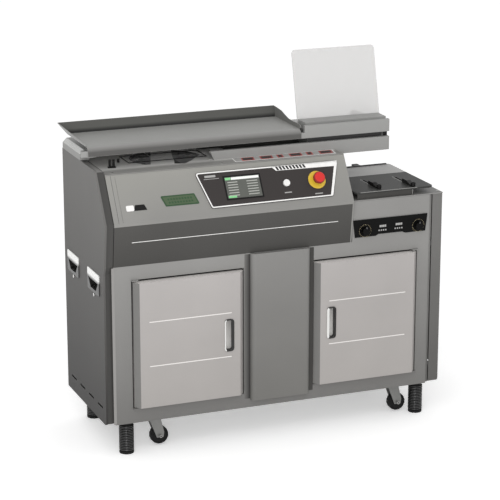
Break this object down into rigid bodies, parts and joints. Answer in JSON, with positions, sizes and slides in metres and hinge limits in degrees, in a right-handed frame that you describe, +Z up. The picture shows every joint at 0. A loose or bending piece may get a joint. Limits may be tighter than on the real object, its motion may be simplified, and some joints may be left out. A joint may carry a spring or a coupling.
{
  "type": "thermal book binding machine",
  "caption": "Floor-standing hot-melt book binder: steel cabinet with hinged doors, sloping control fascia, tray cover, clamp with clear support, nipping table.",
  "frame": {"origin": "on the floor, under the middle of the machine's outline", "axes": "+X to the right seen from the front, +Y towards the back, +Z up"},
  "size_m": [1.1776, 0.442, 1.2012],
  "materials": {
    "side_paint": "satin powder coat",
    "frame_paint": "satin powder coat",
    "door_paint": "satin powder coat",
    "fascia_paint": "satin powder coat",
    "dark_fascia_paint": "satin powder coat",
    "dark_trim": "matt",
    "beam_paint": "satin powder coat",
    "inner_steel": "zinc plated",
    "bright_plate": "polished plating",
    "black_plastic": "moulded, matt",
    "dark_gloss": "glossy coat",
    "screen_plastic": "glossy",
    "signal_yellow": "glossy",
    "signal_red": "glossy",
    "white_plastic": "glossy",
    "clear_acrylic": "clear",
    "black_rubber": "matt, ribbed",
    "castor_metal": "zinc grey",
    "cutter_steel": "ground",
    "tyre_rubber": "matt"
  },
  "bodies": {
    "cabinet": {"base_frame": "inner_steel", "inner_frame": "inner_steel", "left_side_panel": "side_paint", "right_side_panel": "side_paint", "left_front_handle": "bright_plate", "left_rear_handle": "bright_plate", "right_front_handle": "bright_plate", "right_rear_handle": "bright_plate", "edge_trim": "dark_trim", "front_frame": "frame_paint", "centre_panel": "frame_paint", "rear_panel": "side_paint", "power_inlet": "black_plastic", "upper_fascia": "fascia_paint", "lower_fascia": "dark_fascia_paint", "deck_plate": "fascia_paint", "cutter_motor": "inner_steel", "cutter_guard": "clear_acrylic", "glue_tank": "inner_steel", "lower_beam": "beam_paint", "upper_beam": "beam_paint", "rear_beam": "beam_paint", "end_block": "beam_paint", "clamp_strip": "beam_paint", "support_plate": "clear_acrylic", "station_top": "frame_paint", "nip_table": "dark_gloss", "dial_plate": "black_plastic", "control_panel": "dark_trim", "touch_screen": "screen_plastic", "estop_base": "signal_yellow"},
    "left_door": {"left_door": "door_paint", "left_door_handle": "bright_plate"},
    "right_door": {"right_door": "door_paint", "right_door_handle": "bright_plate"},
    "push_button": {"push_button": "white_plastic"},
    "estop_button": {"estop_button": "signal_red"},
    "milling_cutter": {"milling_cutter": "cutter_steel"},
    "first_glue_roller": {"first_glue_roller": "bright_plate"},
    "second_glue_roller": {"second_glue_roller": "bright_plate"},
    "clamp_carriage": {"clamp_carriage": "inner_steel"},
    "moving_jaw": {"moving_jaw": "bright_plate"},
    "tray_cover": {"tray_cover": "beam_paint"},
    "rear_nip_plate": {"rear_nip_plate": "beam_paint"},
    "left_guide": {"left_guide": "black_plastic"},
    "right_guide": {"right_guide": "black_plastic"},
    "left_dial": {"left_dial": "black_plastic"},
    "right_dial": {"right_dial": "black_plastic"},
    "left_front_foot": {"left_front_foot": "black_rubber"},
    "left_front_castor_fork": {"left_front_castor_fork": "castor_metal"},
    "left_front_castor_wheel": {"left_front_castor_wheel": "tyre_rubber"},
    "left_rear_foot": {"left_rear_foot": "black_rubber"},
    "left_rear_castor_fork": {"left_rear_castor_fork": "castor_metal"},
    "left_rear_castor_wheel": {"left_rear_castor_wheel": "tyre_rubber"},
    "right_front_foot": {"right_front_foot": "black_rubber"},
    "right_front_castor_fork": {"right_front_castor_fork": "castor_metal"},
    "right_front_castor_wheel": {"right_front_castor_wheel": "tyre_rubber"},
    "right_rear_foot": {"right_rear_foot": "black_rubber"},
    "right_rear_castor_fork": {"right_rear_castor_fork": "castor_metal"},
    "right_rear_castor_wheel": {"right_rear_castor_wheel": "tyre_rubber"}
  },
  "joints": [
    {"name": "left_door_hinge", "type": "hinge", "parent": "cabinet", "child": "left_door", "pos_m": [-0.4623, -0.2017, 0.162], "axis": [0, 0, -1], "range_deg": [0, 100]},
    {"name": "right_door_hinge", "type": "hinge", "parent": "cabinet", "child": "right_door", "pos_m": [0.4827, -0.2017, 0.162], "axis": [0, 0, 1], "range_deg": [0, 100]},
    {"name": "push_button_travel", "type": "slide", "parent": "cabinet", "child": "push_button", "axis": [0, 0.847, -0.5317], "range_m": [0, 0.003], "stiffness_N_per_m": 200, "springref_m": -0.002},
    {"name": "estop_travel", "type": "slide", "parent": "cabinet", "child": "estop_button", "axis": [0, 0.847, -0.5317], "range_m": [0, 0.005]},
    {"name": "cutter_spin", "type": "hinge", "parent": "cabinet", "child": "milling_cutter", "pos_m": [-0.2813, 0.0283, 0.891], "axis": [0, 0, 1], "continuous": true},
    {"name": "first_roller_spin", "type": "hinge", "parent": "cabinet", "child": "first_glue_roller", "pos_m": [-0.0393, 0.0188, 0.862], "axis": [0, 1, 0], "continuous": true},
    {"name": "second_roller_spin", "type": "hinge", "parent": "cabinet", "child": "second_glue_roller", "pos_m": [0.0407, 0.0188, 0.862], "axis": [0, 1, 0], "continuous": true},
    {"name": "carriage_travel", "type": "slide", "parent": "cabinet", "child": "clamp_carriage", "axis": [-1, 0, 0], "range_m": [0, 0.48]},
    {"name": "jaw_travel", "type": "slide", "parent": "clamp_carriage", "child": "moving_jaw", "axis": [0, 1, 0], "range_m": [0, 0.035]},
    {"name": "tray_hinge", "type": "hinge", "parent": "cabinet", "child": "tray_cover", "pos_m": [-0.5643, 0.1933, 0.9515], "axis": [-1, 0, 0], "range_deg": [0, 75]},
    {"name": "nip_travel", "type": "slide", "parent": "cabinet", "child": "rear_nip_plate", "axis": [0, 1, 0], "range_m": [0, 0.03]},
    {"name": "left_guide_travel", "type": "slide", "parent": "cabinet", "child": "left_guide", "axis": [0, 1, 0], "range_m": [0, 0.055]},
    {"name": "right_guide_travel", "type": "slide", "parent": "cabinet", "child": "right_guide", "axis": [0, 1, 0], "range_m": [0, 0.065]},
    {"name": "left_dial_turn", "type": "hinge", "parent": "cabinet", "child": "left_dial", "pos_m": [0.3097, -0.2, 0.655], "axis": [0, -1, 0], "range_deg": [-150, 150]},
    {"name": "right_dial_turn", "type": "hinge", "parent": "cabinet", "child": "right_dial", "pos_m": [0.4977, -0.2, 0.655], "axis": [0, -1, 0], "range_deg": [-150, 150]},
    {"name": "left_front_foot_screw", "type": "slide", "parent": "cabinet", "child": "left_front_foot", "axis": [0, 0, -1], "range_m": [0, 0.02]},
    {"name": "left_front_castor_swivel", "type": "hinge", "parent": "cabinet", "child": "left_front_castor_fork", "pos_m": [-0.3913, -0.1317, 0.1087], "axis": [0, 0, 1], "continuous": true},
    {"name": "left_front_castor_roll", "type": "hinge", "parent": "left_front_castor_fork", "child": "left_front_castor_wheel", "pos_m": [-0.3723, -0.1317, 0.036], "axis": [0, 1, 0], "continuous": true},
    {"name": "left_rear_foot_screw", "type": "slide", "parent": "cabinet", "child": "left_rear_foot", "axis": [0, 0, -1], "range_m": [0, 0.02]},
    {"name": "left_rear_castor_swivel", "type": "hinge", "parent": "cabinet", "child": "left_rear_castor_fork", "pos_m": [-0.3913, 0.1533, 0.1087], "axis": [0, 0, 1], "continuous": true},
    {"name": "left_rear_castor_roll", "type": "hinge", "parent": "left_rear_castor_fork", "child": "left_rear_castor_wheel", "pos_m": [-0.3723, 0.1533, 0.036], "axis": [0, 1, 0], "continuous": true},
    {"name": "right_front_foot_screw", "type": "slide", "parent": "cabinet", "child": "right_front_foot", "axis": [0, 0, -1], "range_m": [0, 0.02]},
    {"name": "right_front_castor_swivel", "type": "hinge", "parent": "cabinet", "child": "right_front_castor_fork", "pos_m": [0.4437, -0.1317, 0.1087], "axis": [0, 0, 1], "continuous": true},
    {"name": "right_front_castor_roll", "type": "hinge", "parent": "right_front_castor_fork", "child": "right_front_castor_wheel", "pos_m": [0.4627, -0.1317, 0.036], "axis": [0, 1, 0], "continuous": true},
    {"name": "right_rear_foot_screw", "type": "slide", "parent": "cabinet", "child": "right_rear_foot", "axis": [0, 0, -1], "range_m": [0, 0.02]},
    {"name": "right_rear_castor_swivel", "type": "hinge", "parent": "cabinet", "child": "right_rear_castor_fork", "pos_m": [0.4437, 0.1533, 0.1087], "axis": [0, 0, 1], "continuous": true},
    {"name": "right_rear_castor_roll", "type": "hinge", "parent": "right_rear_castor_fork", "child": "right_rear_castor_wheel", "pos_m": [0.4627, 0.1533, 0.036], "axis": [0, 1, 0], "continuous": true}
  ],
  "couplings": [
    {"joint": "second_roller_spin", "follows": "first_roller_spin", "ratio": 1}
  ]
}
